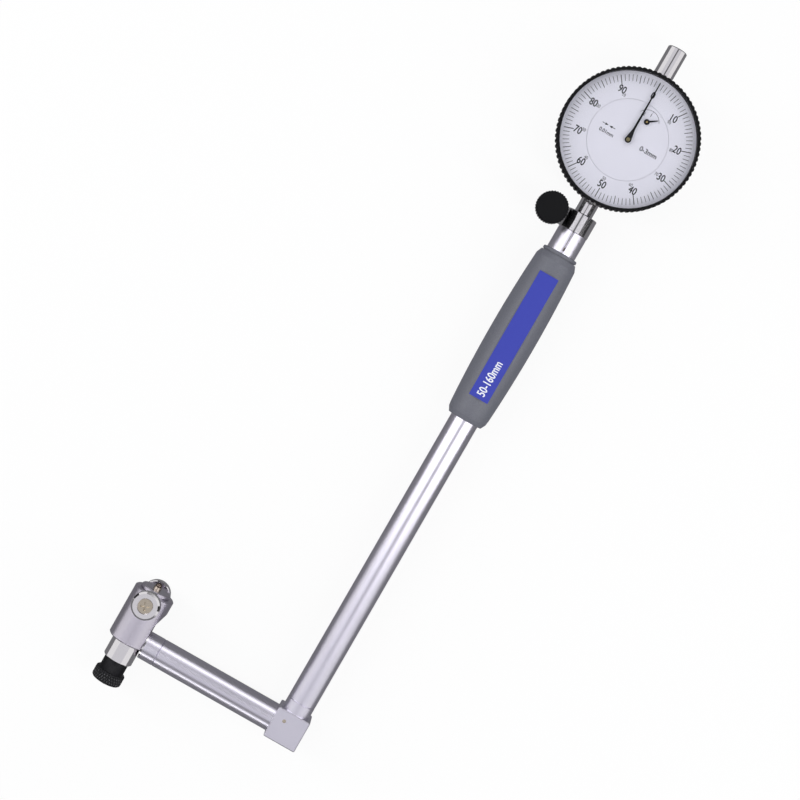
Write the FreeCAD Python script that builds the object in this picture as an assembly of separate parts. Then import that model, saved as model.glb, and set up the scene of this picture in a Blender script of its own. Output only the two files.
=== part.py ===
"""Dial bore gauge with a right-angled arm, lying on its back.

The long tube runs along +Y up to the dial, the short arm runs along -X to the measuring head, and
the dial faces +Z. All sizes are millimetres. The pieces are worked out in a frame whose origin is
where the tube's axis meets the arm's axis. Each is moved by the same amount when it is written, so
that the gauge's box stands centred on the origin with its lowest point at Z = 0.
"""
import FreeCAD, Part
import math
import os

V = FreeCAD.Vector
X, Y, Z = V(1, 0, 0), V(0, 1, 0), V(0, 0, 1)

# ---- clearances -----------------------------------------------------------------------------
RUN = 0.04          # radial clearance of a running or sliding fit
SEAT = 0.02         # radial clearance of a pressed, screwed or glued fit
FACE_GAP = 0.1      # end clearance between two pieces that move past each other
PUSH_GAP = 0.1      # clearance in the push train at each end of a rod
CUT = 1.0           # how far a cutting tool runs past the face it cuts

# ---- push train -----------------------------------------------------------------------------
TRAVEL = 1.6        # stroke of the measuring contact
CRANK_ARM = 2.7     # each arm of a bell crank, pivot to knuckle
CRANK_THICK = 2.8
CRANK_HUB_R = 1.45
CRANK_TIP_R = 0.9
CRANK_WEB = 1.0     # width of each arm between the hub and the knuckle
CRANK_PIN_R = 0.8
CRANK_ROOM = 0.7    # free room past the knuckles in a crank's pocket
PIN_SUNK = 0.2      # how far a pin's end lies below the surface
ROD_R = 1.5
NOSE_R = 0.7        # thin end of each rod, which passes beside a crank's hub
NOSE_LEN = 3.2
SWING_R = 2.2       # counterbore in which a swinging knuckle dips

# ---- tube, arm and corner block -------------------------------------------------------------
TUBE_R = 6.25
TUBE_WALL = 1.25
TUBE_TOP = 226.0
BLOCK_X = 15.0
BLOCK_Y = 14.2
BLOCK_Z = 14.0
BLOCK_CHAMFER = 0.4
TUBE_COLLAR = 5.1
SPIGOT_IN = 6.0     # length of each fitting's spigot inside a tube
ARM_COLLAR = 6.45
LOCK_RING = 0.6
ARM_SPIGOT_R = 3.5
SEAM_CHAMFER = 0.25

# ---- measuring head -------------------------------------------------------------------------
HEAD_X = -77.3
EDGE_BEVEL = 0.5    # on the turned pieces of the head
CORE_R = 6.5
CORE_BOTTOM = -11.4
CORE_WAIST = 7.5    # where the core narrows for the bridge spring
CORE_NECK_R = 5.1
CAP_THICK = 1.6
CAP_TOP = 23.5
CAP_R = 6.7
CAP_HOLE_R = 0.5
CAP_HOLE_OFFSET = 3.3
CAP_HOLE_DEEP = 1.0
CAP_BEVEL = 0.35
BRIDGE_R = 9.0
BRIDGE_BOTTOM = -2.0
BRIDGE_FLAT = 6.85  # milled flat towards the arm, from the head's axis
BRIDGE_WEB = 5.8    # thickness of the bridge's closed top
BRIDGE_TRAVEL = 3.5
RAMP_FOOT = 9.9     # where the flat begins to slope out to the full round
RAMP_HEAD = 16.0
ROLLER_Y = 18.3
ROLLER_R = 6.1
ROLLER_THICK = 4.6
ROLLER_FACE = 16.5  # outer face of a roller, from the mid plane
ROLLER_BEVEL = 0.8
ROLLER_BORE_R = 2.0
ROLLER_BOSS_R = 5.2
SCREW_HEAD_R = 3.15
SCREW_HEAD_THICK = 1.3
SCREW_SLOT = 0.9
SCREW_SLOT_DEEP = 1.2
NUT_NECK_R = 5.4
NUT_NECK = 5.3
NUT_R = 6.65
NUT_THICK = 5.1
NUT_TEETH = 40
NUT_TOOTH = 0.35
ANVIL_R = 2.5
ANVIL_WEB = 1.2     # metal between the crank's pocket and the anvil's hole
ANVIL_TIP = -23.6
ANVIL_BALL_R = 1.5
PLUNGER_R = 2.0
PLUNGER_NECK_R = 1.7
PLUNGER_COLLAR_R = 2.8
PLUNGER_COLLAR = 1.2
BALL_R = 1.4
BALL_Y = 25.0

# ---- handle ---------------------------------------------------------------------------------
GRIP_BOTTOM = 151.2
GRIP_TOP = 231.5
GRIP_END_R = 7.7
GRIP_SHOULDER_R = 9.1
GRIP_MID_R = 10.25
GRIP_SHOULDER = 4.2
GRIP_LIP = 1.3      # ring above the groove, at the grip's top
GRIP_LIP_R = 7.8
GRIP_GROOVE = 0.5
GRIP_GROOVE_DEPTH = 0.5
GRIP_NECK_R = 8.1   # where the barrel starts under the groove
GRIP_BEVEL = 0.3
PANEL_Z = 8.95      # height of the flat label panel above the mid plane
LABEL_W = 8.8
LABEL_BOTTOM = 162.0
LABEL_TOP = 221.0
LABEL_THICK = 0.25
PANEL_MARGIN = 0.5

# ---- dial holder and clamp ------------------------------------------------------------------
HOLDER_R = 6.5
HOLDER_NECK_R = 5.3
HOLDER_TOP = 250.0
HOLDER_SLIT = 0.9
HOLDER_SLIT_END = 232.6
CLAMP_R = 6.65
CLAMP_H = 8.6
CLAMP_BEVEL = 0.3
EAR_H = 7.8
EAR_THICK = 6.4
EAR_SLIT = 0.8
KNOB_X = -13.1
KNOB_R = 6.85
KNOB_H = 7.4
KNOB_NECK_R = 4.2
KNOB_NECK = 1.6
KNOB_TEETH = 36
KNOB_TOOTH = 0.3
KNOB_BEVEL = 0.7
KNOB_TOP_T = 1.5    # solid top of the knob over the screw's end
CLAMP_SCREW_R = 2.0
CLAMP_SCREW_OUT = 0.6

# ---- dial indicator -------------------------------------------------------------------------
DIAL_Y = 285.0
STEM_R = 4.0
STEM_BOTTOM = 234.3
STEM_FLANGE = 1.5
STEM_FLANGE_R = 4.8
SPINDLE_R = 2.0
SPINDLE_BOTTOM = 231.6
SPINDLE_TOP = 319.0
SPINDLE_STROKE = 3.0
POINT_R = 2.3
POINT_LEN = 4.0
CASE_R = 27.2
CASE_WALL = 2.2
CASE_BACK = -10.5
CASE_FLOOR = 5.9
CASE_FLOOR_T = 1.5
CASE_FRONT = 7.9
COVER_T = 1.5
COVER_STEP = 0.6
COVER_LIP = 1.2
COVER_BEVEL = 0.4
COVER_HEAD_R = 0.8
COVER_HEAD = 0.8
COVER_SHANK_R = 0.5
COVER_SHANK = 4.0
COVER_SLOT = 0.24
COVER_SCREWS = 4
BOSS_OUT = 1.2      # the case's boss under the spindle guard
GUARD_R = 4.3
GUARD_TOP = 328.4
GUARD_WALL = 1.3
GUARD_BEVEL = 0.4
BEZEL_WALL = 2.5    # from the case's outside to the bezel's
BEZEL_LEDGE = 1.0   # how far the bezel's opening is wider than the case
BEZEL_BACK = 4.8
BEZEL_FRONT = 13.4
BEZEL_TEETH = 84
BEZEL_TOOTH = 0.45
LIP_T = 0.8
CRYSTAL_LIP = 0.5   # how far the crystal reaches under the bezel's lip
CRYSTAL_T = 1.3
FACE_SEAT = 8.2
FACE_T = 0.5
CENTRE_DIAL_R = 16.8
ARBOR_HOLE_R = 0.7

# ---- movement -------------------------------------------------------------------------------
GEAR_OFFSET_X = 3.16
GEAR_OFFSET_Y = 10.1
GEAR_TEETH = 100
PINION_TEETH = 10
RACK_TEETH = 16     # of the rack pinion
RACK_TOOTH_COUNT = 12   # cut in the spindle
RACK_PITCH_R = 5.0 / math.pi       # one turn of the rack pinion for 10 mm of rack
RACK_GEAR_Z = 2.5
RACK_PINION_LOW = 1.5   # how far the rack pinion reaches below the mid plane
COUNT_GEAR_Z = 3.6
GEAR_T = 0.6
ARBOR_R = 0.4
HUB_R = 1.0
FRONT_PLATE_T = 0.8
BACK_PLATE_Z = -4.2
BACK_PLATE_T = 1.2
PLATE_R = 20.0
PILLAR_R = 1.6
PILLAR_IN = 0.3     # how far a pillar's foot sits in the back plate
PILLAR_PLACE = 16.0
PILLAR_SPREAD = 22.0
POINTER_Z = 10.2
POINTER_T = 0.25
POINTER_REACH = 26.2
POINTER_ROOT = 1.1
POINTER_TIP = 0.44
POINTER_TAIL_R = 1.35
POINTER_SHOULDER = 4.8
COUNT_HAND_Z = 9.2
COUNT_HAND_REACH = 4.5
COUNT_HAND_ROOT = 0.9
COUNT_HAND_TIP = 0.36
COUNT_HUB_R = 1.2
COUNT_HAND_ANGLE = 35.0
GUIDE_PIN_R = 0.7
GUIDE_PIN_RISE = 14.0
SLEEVE_R = 3.2      # brass sleeve that holds the guide pin on the spindle
SLEEVE_LEN = 3.0

# ---- springs --------------------------------------------------------------------------------
COIL_SIDES = 16     # lengths of wire in one turn
ROD_SPRING_Y = 92.0
ROD_SPRING_LEN = 20.0
ROD_SPRING_R = 2.9
ROD_SPRING_WIRE = 0.35
ROD_SPRING_TURNS = 9
ROD_COLLAR_R = 3.6
ROD_COLLAR = 2.0
GUIDE_LEN = 6.0
BRIDGE_SPRING_WIRE = 0.35
BRIDGE_SPRING_TURNS = 3
RETURN_SPRING_X = -4.3
RETURN_SPRING_R = 1.1
RETURN_SPRING_WIRE = 0.18
RETURN_SPRING_TURNS = 12
RETURN_SPRING_LEN = 15.0
HAIR_TURNS = 5
HAIR_PITCH = 0.55
HAIR_T = 0.12       # thickness of the hairspring's strip
HAIR_H = 0.3

TUBE_BORE_R = TUBE_R - TUBE_WALL
BEZEL_R = CASE_R + BEZEL_WALL
BEZEL_OPEN_R = CASE_R + BEZEL_LEDGE
CRYSTAL_R = BEZEL_OPEN_R + CRYSTAL_LIP
ARM_COLLAR_END = HEAD_X + BRIDGE_FLAT + FACE_GAP + LOCK_RING   # the lock ring stands beside the bridge
ARM_TUBE_END = -(ARM_COLLAR_END + ARM_COLLAR)
CRANK_POCKET = CRANK_THICK + 4 * FACE_GAP
KNUCKLE = CRANK_ARM + CRANK_TIP_R + PUSH_GAP       # where a rod's flat end stands off a crank
TAIL_END = CRANK_ARM + CRANK_HUB_R + 3 * FACE_GAP  # nearest that a spigot comes to the cross axis
FRONT_PLATE_Z = CASE_FLOOR - FRONT_PLATE_T
GUIDE_PIN_Y = DIAL_Y + GUIDE_PIN_RISE


# ---- shapes ---------------------------------------------------------------------------------
def rod(radius, start, way, length):
    """A round bar from a point, along a direction."""
    return Part.makeCylinder(radius, length, start, way)


def pipe(outer, inner, start, way, length):
    """A round bar with a hole right through it."""
    return rod(outer, start, way, length).cut(rod(inner, start - way * CUT, way, length + 2 * CUT))


def block(low, high):
    """A box between two corners."""
    size = high - low
    return Part.makeBox(size.x, size.y, size.z, low)


def turned(points, centre, way, side):
    """A closed outline of (radius, distance along the axis) turned about that axis."""
    corners = [centre + side * r + way * d for r, d in points]
    face = Part.Face(Part.makePolygon(corners + corners[:1]))
    return face.revolve(centre, way, 360)


def fused(shapes):
    """Several overlapping shapes as one solid, with seams between like faces removed."""
    return shapes[0].multiFuse(shapes[1:]).removeSplitter()


def toothed(root_r, tip_r, teeth, root_share, tip_share, start, height, turn=0.0):
    """A wheel of straight flat-topped teeth about Z: a tooth takes the given shares of its pitch."""
    corners = []
    pitch = 2 * math.pi / teeth
    for i in range(teeth):
        middle = i * pitch + turn
        for radius, share in ((root_r, -root_share), (tip_r, -tip_share),
                              (tip_r, tip_share), (root_r, root_share)):
            angle = middle + share * pitch / 2
            corners.append(V(radius * math.cos(angle), radius * math.sin(angle), 0))
    face = Part.Face(Part.makePolygon(corners + corners[:1]))
    wheel = face.extrude(Z * height)
    wheel.translate(start)
    return wheel


def coil(radius, wire, turns, start, way, side, length):
    """A helical spring between two planes: a round wire in short mitred lengths along a helix."""
    rise = length - 2 * wire
    steps = turns * COIL_SIDES
    points = []
    for i in range(steps + 1):
        angle = 2 * math.pi * i / COIL_SIDES
        points.append(V(radius * math.cos(angle), radius * math.sin(angle), rise * i / steps))
    section = Part.Wire(Part.makeCircle(wire, points[0], points[1] - points[0]))
    mitred = 1
    spring = Part.Wire(Part.makePolygon(points).Edges).makePipeShell([section], True, False, mitred)
    turn = FreeCAD.Rotation(side, way.cross(side), way, "XYZ")
    spring.Placement = FreeCAD.Placement(start + way * wire, turn)
    return spring


# ---- corner: block, cranks, tubes and rods ----------------------------------------------------
def push_rod(radius, start, way, length, both_ends=False):
    """A round rod whose first end, or each end, is turned down to a thin nose with a flat tip."""
    nosed = NOSE_LEN * (2 if both_ends else 1)
    return fused([rod(radius, start + way * NOSE_LEN, way, length - nosed), rod(NOSE_R, start, way, length)])


def bell_crank(centre, side):
    """Two arms at a right angle about a pivot. side is +1 where the pivot lies towards +X."""
    pivot = centre + V(side * CRANK_ARM, CRANK_ARM, 0)
    upper = centre + V(0, CRANK_ARM, 0)
    lower = centre + V(side * CRANK_ARM, 0, 0)
    floor = Z * (-CRANK_THICK / 2)
    pieces = [rod(CRANK_HUB_R, pivot + floor, Z, CRANK_THICK)]
    for tip in (upper, lower):
        pieces.append(rod(CRANK_TIP_R, tip + floor, Z, CRANK_THICK))
        along = (tip - pivot).normalize()
        across = Z.cross(along) * (CRANK_WEB / 2)
        corners = [pivot - across, tip - across, tip + across, pivot + across]
        arm = Part.Face(Part.makePolygon([c + floor for c in corners + corners[:1]]))
        pieces.append(arm.extrude(Z * CRANK_THICK))
    return fused(pieces).cut(rod(CRANK_PIN_R + RUN, pivot + floor * 2, Z, 2 * CRANK_THICK))


def crank_pocket(centre, side):
    """The room in which a crank swings, from its hub's far side to the cross axis's far side."""
    back = CRANK_TIP_R + CRANK_ROOM
    near, far = sorted((centre.x - side * back, centre.x + side * TAIL_END))
    low = V(near, centre.y - back, -CRANK_POCKET / 2)
    return block(low, V(far, centre.y + TAIL_END, CRANK_POCKET / 2))


def fitting(collar, collar_r, bore_r, tail_r, tail, start, way, side):
    """A turned plug: a tail into a body, a collar, and a spigot up a tube. start is the tail's end."""
    spigot_r = TUBE_BORE_R - SEAT
    a, b = tail, tail + collar
    c = b + SPIGOT_IN
    nose = SWING_R + SEAM_CHAMFER
    outline = [(SWING_R, 0), (tail_r, 0), (tail_r, a), (collar_r, a), (collar_r, b - SEAM_CHAMFER),
               (collar_r - SEAM_CHAMFER, b), (spigot_r, b), (spigot_r, c), (bore_r, c), (bore_r, nose),
               (SWING_R, nose)]
    return turned(outline, start, way, side)


def build_corner():
    """Corner block, its crank and pin, the two tubes, their fittings and the push rods."""
    half = V(BLOCK_X, BLOCK_Y, BLOCK_Z) * 0.5
    body = block(-half, half)
    body = body.makeChamfer(BLOCK_CHAMFER, body.Edges)
    spigot_hole = ARM_SPIGOT_R + SEAT
    body = body.cut(rod(spigot_hole, V(-half.x - CUT, 0, 0), X, half.x + CUT - TAIL_END + FACE_GAP))
    body = body.cut(rod(spigot_hole, V(0, half.y + CUT, 0), -Y, half.y + CUT - TAIL_END + FACE_GAP))
    body = body.cut(crank_pocket(V(0, 0, 0), -1))
    pivot = V(-CRANK_ARM, CRANK_ARM, 0)
    pin = rod(CRANK_PIN_R, pivot - Z * (half.z - PIN_SUNK), Z, 2 * (half.z - PIN_SUNK))
    body = body.cut(rod(CRANK_PIN_R + SEAT, pivot - Z * BLOCK_Z, Z, 2 * BLOCK_Z))

    guide = ROD_R + RUN
    tail = half.x - TAIL_END
    root = fitting(SEAM_CHAMFER, ARM_SPIGOT_R, guide, ARM_SPIGOT_R, tail - SEAM_CHAMFER,
                   V(-TAIL_END, 0, 0), -X, Y)
    base = fitting(TUBE_COLLAR, TUBE_R, guide, ARM_SPIGOT_R, half.y - TAIL_END, V(0, TAIL_END, 0), Y, X)
    tube_foot = half.y + TUBE_COLLAR
    tube = turned([(TUBE_BORE_R, tube_foot), (TUBE_R - SEAM_CHAMFER, tube_foot),
                   (TUBE_R, tube_foot + SEAM_CHAMFER), (TUBE_R, TUBE_TOP), (TUBE_BORE_R, TUBE_TOP)],
                  V(0, 0, 0), Y, X)
    arm = turned([(TUBE_BORE_R, half.x), (TUBE_R, half.x), (TUBE_R, ARM_TUBE_END - SEAM_CHAMFER),
                  (TUBE_R - SEAM_CHAMFER, ARM_TUBE_END), (TUBE_BORE_R, ARM_TUBE_END)],
                 V(0, 0, 0), -X, Y)

    rod_top = SPINDLE_BOTTOM - POINT_LEN - PUSH_GAP
    long_rod = push_rod(ROD_R, V(0, KNUCKLE, 0), Y, rod_top - KNUCKLE)
    collar = rod(ROD_COLLAR_R, V(0, ROD_SPRING_Y - ROD_COLLAR, 0), Y, ROD_COLLAR)
    long_rod = fused([long_rod, collar])
    rod_guide = pipe(TUBE_BORE_R - SEAT, guide, V(0, ROD_SPRING_Y + ROD_SPRING_LEN, 0), Y, GUIDE_LEN)
    spring = coil(ROD_SPRING_R, ROD_SPRING_WIRE, ROD_SPRING_TURNS,
                  V(0, ROD_SPRING_Y, 0), Y, X, ROD_SPRING_LEN)
    arm_rod = push_rod(ROD_R, V(-KNUCKLE, 0, 0), -X, -KNUCKLE - (HEAD_X + KNUCKLE), both_ends=True)
    return {
        "corner_block": body, "corner_crank": bell_crank(V(0, 0, 0), -1), "corner_crank_pin": pin,
        "arm_root_fitting": root, "tube_fitting": base, "main_tube": tube, "arm_tube": arm,
        "long_push_rod": long_rod, "rod_guide": rod_guide, "push_rod_spring": spring,
        "arm_push_rod": arm_rod,
    }


# ---- measuring head ---------------------------------------------------------------------------
def build_arm_end():
    """The arm's end fitting, which screws into the head's core, and its chrome lock ring."""
    tail_end = HEAD_X + TAIL_END
    tail = ARM_COLLAR_END - tail_end
    end = fitting(ARM_COLLAR, TUBE_R, ROD_R + RUN, ARM_SPIGOT_R, tail, V(tail_end, 0, 0), X, Y)
    ring = pipe(TUBE_R, ARM_SPIGOT_R + SEAT, V(ARM_COLLAR_END, 0, 0), -X, LOCK_RING)
    return {"arm_end_fitting": end, "lock_ring": ring}


def build_core():
    """The head's core, its screwed cap, the crank and pin inside, the contact and the fixed anvil."""
    head = V(HEAD_X, 0, 0)
    cap_foot = CAP_TOP - CAP_THICK
    neck_top = cap_foot
    core = fused([rod(CORE_R, head + Y * CORE_BOTTOM, Y, CORE_WAIST - CORE_BOTTOM),
                  rod(CORE_NECK_R, head + Y * CORE_BOTTOM, Y, neck_top - CORE_BOTTOM)])
    core = core.makeChamfer(EDGE_BEVEL, [e for e in core.Edges if abs(e.BoundBox.YMax - CORE_BOTTOM) < 1e-6])
    collar_floor = neck_top - PLUNGER_COLLAR - TRAVEL - FACE_GAP
    core = core.cut(rod(PLUNGER_R + RUN, head, Y, neck_top + CUT))
    core = core.cut(rod(PLUNGER_COLLAR_R + RUN, head + Y * collar_floor, Y, neck_top - collar_floor + CUT))
    anvil_top = -CRANK_TIP_R - CRANK_ROOM - ANVIL_WEB
    core = core.cut(rod(ANVIL_R + SEAT, head + Y * (CORE_BOTTOM - CUT), Y, anvil_top - CORE_BOTTOM + CUT))
    core = core.cut(crank_pocket(head, 1))
    core = core.cut(rod(ARM_SPIGOT_R + SEAT, head + X * (TAIL_END - FACE_GAP), X, CORE_R))
    pivot = head + V(CRANK_ARM, CRANK_ARM, 0)
    pin_half = math.sqrt(CORE_R ** 2 - (CRANK_ARM + CRANK_PIN_R) ** 2) - PIN_SUNK
    pin = rod(CRANK_PIN_R, pivot - Z * pin_half, Z, 2 * pin_half)
    core = core.cut(rod(CRANK_PIN_R + SEAT, pivot - Z * CORE_R, Z, 2 * CORE_R))

    cap = rod(CAP_R, head + Y * cap_foot, Y, CAP_THICK)
    cap = cap.makeChamfer(CAP_BEVEL, [e for e in cap.Edges if abs(e.BoundBox.YMin - CAP_TOP) < 1e-6])
    cap = cap.cut(rod(PLUNGER_NECK_R + RUN, head + Y * (cap_foot - CUT), Y, CAP_THICK + 2 * CUT))
    for way in (1, -1):
        at = head + V(0, CAP_TOP - CAP_HOLE_DEEP, way * CAP_HOLE_OFFSET)
        cap = cap.cut(rod(CAP_HOLE_R, at, Y, CAP_HOLE_DEEP + CUT))

    ball_seat = BALL_Y - 0.4
    collar_at = cap_foot - FACE_GAP - PLUNGER_COLLAR
    plunger = fused([push_rod(PLUNGER_R, head + Y * KNUCKLE, Y, cap_foot - FACE_GAP - KNUCKLE),
                     rod(PLUNGER_COLLAR_R, head + Y * collar_at, Y, PLUNGER_COLLAR),
                     rod(PLUNGER_NECK_R, head + Y * (cap_foot - CUT), Y, ball_seat - cap_foot + CUT)])
    ball = Part.makeSphere(BALL_R, head + Y * BALL_Y)
    plunger = plunger.cut(Part.makeSphere(BALL_R + 0.005, head + Y * BALL_Y))

    nut_top = CORE_BOTTOM
    anvil_ball = Part.makeSphere(ANVIL_BALL_R, head + Y * (ANVIL_TIP + ANVIL_BALL_R))
    anvil_foot = ANVIL_TIP + ANVIL_BALL_R + 0.3
    anvil = rod(ANVIL_R, head + Y * anvil_foot, Y, anvil_top - anvil_foot)
    rim = [e for e in anvil.Edges if abs(e.BoundBox.YMax - anvil_foot) < 1e-6]
    anvil = anvil.makeChamfer(EDGE_BEVEL, rim)
    anvil = anvil.cut(Part.makeSphere(ANVIL_BALL_R + 0.005, head + Y * (ANVIL_TIP + ANVIL_BALL_R)))

    knurl = toothed(NUT_R - NUT_TOOTH, NUT_R, NUT_TEETH, 0.9, 0.3, V(0, 0, 0), NUT_THICK)
    knurl.rotate(V(0, 0, 0), X, 90)
    knurl.translate(head + Y * (nut_top - NUT_NECK))
    bevel = EDGE_BEVEL
    foot, brim = nut_top - NUT_NECK - NUT_THICK, nut_top - NUT_NECK
    envelope = turned([(0, foot), (NUT_R - bevel, foot), (NUT_R, foot + bevel), (NUT_R, brim - bevel),
                       (NUT_R - bevel, brim), (0, brim)], head, Y, X)
    neck = rod(NUT_NECK_R, head + Y * (brim - bevel), Y, NUT_NECK + bevel - FACE_GAP)
    nut = fused([knurl.common(envelope), neck])
    nut = nut.cut(rod(ANVIL_R + RUN, head + Y * (foot - CUT), Y, NUT_NECK + NUT_THICK + 2 * CUT))
    return {
        "head_core": core, "core_cap": cap, "head_crank": bell_crank(head, 1), "head_crank_pin": pin,
        "contact_plunger": plunger, "contact_ball": ball, "anvil": anvil, "anvil_ball": anvil_ball,
        "lock_nut": nut,
    }


def build_bridge():
    """The sprung centralising bridge round the core, its two rollers and their screws."""
    head = V(HEAD_X, 0, 0)
    cap_foot = CAP_TOP - CAP_THICK
    top = cap_foot - FACE_GAP
    web_foot = top - BRIDGE_WEB
    boss_face = ROLLER_FACE - ROLLER_THICK - FACE_GAP
    height = top - BRIDGE_BOTTOM
    bridge = rod(BRIDGE_R, head + Y * BRIDGE_BOTTOM, Y, height)
    bridge = bridge.makeChamfer(EDGE_BEVEL, [e for e in bridge.Edges if e.BoundBox.YLength < 1e-6])
    bosses = rod(ROLLER_BOSS_R, head + V(0, ROLLER_Y, -boss_face), Z, 2 * boss_face)
    above = ROLLER_BOSS_R + boss_face
    bosses = bosses.cut(block(head + V(-above, top, -above), head + V(above, top + above, above)))
    bridge = bridge.fuse(bosses)
    far = BRIDGE_R + CUT
    foot = BRIDGE_BOTTOM - CUT
    corners = [V(BRIDGE_FLAT, foot, -far), V(BRIDGE_FLAT, RAMP_FOOT, -far), V(BRIDGE_R, RAMP_HEAD, -far),
               V(far, RAMP_HEAD, -far), V(far, foot, -far)]
    flat = Part.Face(Part.makePolygon([head + c for c in corners + corners[:1]])).extrude(Z * (2 * far))
    bridge = bridge.cut(flat)
    bridge = bridge.cut(rod(CORE_R + RUN, head + Y * foot, Y, web_foot - foot))
    bridge = bridge.cut(rod(CORE_NECK_R + RUN, head + Y * BRIDGE_BOTTOM, Y, height + CUT))
    slot_half = ARM_SPIGOT_R + 4 * FACE_GAP
    slot_top = BRIDGE_TRAVEL + 2 * FACE_GAP
    slot = block(head + V(0, BRIDGE_BOTTOM - CUT, -slot_half), head + V(far, slot_top, slot_half))
    slot = slot.fuse(rod(slot_half, head + Y * slot_top, X, far))
    bridge = bridge.cut(slot)
    screws = []
    made = {}
    for side, name in ((1, "front_roller"), (-1, "back_roller")):
        out = Z * side
        axle = head + Y * ROLLER_Y
        inner = ROLLER_FACE - ROLLER_THICK
        recess = SCREW_HEAD_THICK + 0.2
        outline = [(ROLLER_BORE_R + RUN, inner), (ROLLER_R - ROLLER_BEVEL / 2, inner),
                   (ROLLER_R, inner + ROLLER_BEVEL / 2),
                   (ROLLER_R, ROLLER_FACE - ROLLER_BEVEL), (ROLLER_R - ROLLER_BEVEL, ROLLER_FACE),
                   (SCREW_HEAD_R + 0.3, ROLLER_FACE), (SCREW_HEAD_R + 0.3, ROLLER_FACE - recess),
                   (ROLLER_BORE_R + RUN, ROLLER_FACE - recess)]
        made[name] = turned(outline, axle, out, X)
        shank_foot = CORE_NECK_R + RUN + 0.3
        bridge = bridge.cut(rod(ROLLER_BORE_R + SEAT, axle + out * shank_foot, out, boss_face))
        head_low = ROLLER_FACE - recess + 0.05
        shank_low, shank_high = shank_foot + FACE_GAP, head_low + SCREW_HEAD_THICK / 4
        screw = fused([rod(ROLLER_BORE_R, axle + out * shank_low, out, shank_high - shank_low),
                       rod(SCREW_HEAD_R, axle + out * head_low, out, SCREW_HEAD_THICK)])
        for turn in (0, 90):
            reach, half = SCREW_HEAD_R * 0.6, SCREW_SLOT / 2
            bar = block(V(-reach, -half, 0), V(reach, half, SCREW_SLOT_DEEP))
            bar.rotate(V(0, 0, 0), Z, turn + 20)
            bar.translate(axle - Z * (SCREW_SLOT_DEEP / 2)
                          + out * (head_low + SCREW_HEAD_THICK - SCREW_SLOT_DEEP / 2))
            screw = screw.cut(bar)
        screws.append(screw)
    spring_len = web_foot - CORE_WAIST
    middle = (CORE_NECK_R + CORE_R) / 2 + RUN
    spring = coil(middle, BRIDGE_SPRING_WIRE, BRIDGE_SPRING_TURNS, head + Y * CORE_WAIST, Y, X, spring_len)
    made["centralising_bridge"] = bridge
    made["roller_screws"] = Part.Compound(screws)
    made["bridge_spring"] = spring
    return made


# ---- handle and clamp -------------------------------------------------------------------------
def build_handle():
    """The moulded barrel grip with its flat panel, and the printed label stuck on the panel."""
    low, high = GRIP_BOTTOM, GRIP_TOP
    lip_foot = high - GRIP_LIP
    groove_r = GRIP_LIP_R - GRIP_GROOVE_DEPTH
    start, end = V(GRIP_SHOULDER_R, low + GRIP_SHOULDER, 0), V(GRIP_SHOULDER_R, high - GRIP_SHOULDER, 0)
    middle = V(GRIP_MID_R, (low + high) / 2, 0)
    bore = TUBE_R + SEAT
    head_bore = HOLDER_R + SEAT
    corners = [end, V(GRIP_NECK_R, lip_foot - GRIP_GROOVE, 0), V(groove_r, lip_foot - GRIP_GROOVE, 0),
               V(groove_r, lip_foot, 0), V(GRIP_LIP_R, lip_foot, 0), V(GRIP_LIP_R, high - GRIP_BEVEL, 0),
               V(GRIP_LIP_R - GRIP_BEVEL, high, 0), V(head_bore, high, 0), V(head_bore, TUBE_TOP, 0),
               V(bore, TUBE_TOP, 0), V(bore, low, 0), V(GRIP_END_R, low, 0),
               V(GRIP_SHOULDER_R - GRIP_BEVEL, low + GRIP_SHOULDER / 2, 0), start]
    edges = [Part.Arc(start, middle, end).toShape()]
    edges += [Part.makeLine(a, b) for a, b in zip(corners, corners[1:])]
    grip = Part.Face(Part.Wire(edges)).revolve(V(0, 0, 0), Y, 360)
    half = LABEL_W / 2 + PANEL_MARGIN
    grip = grip.cut(block(V(-half, LABEL_BOTTOM - PANEL_MARGIN, PANEL_Z),
                          V(half, LABEL_TOP + PANEL_MARGIN, GRIP_MID_R + CUT)))
    label = block(V(-LABEL_W / 2, LABEL_BOTTOM, PANEL_Z), V(LABEL_W / 2, LABEL_TOP, PANEL_Z + LABEL_THICK))
    return {"grip": grip, "label": label}


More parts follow.
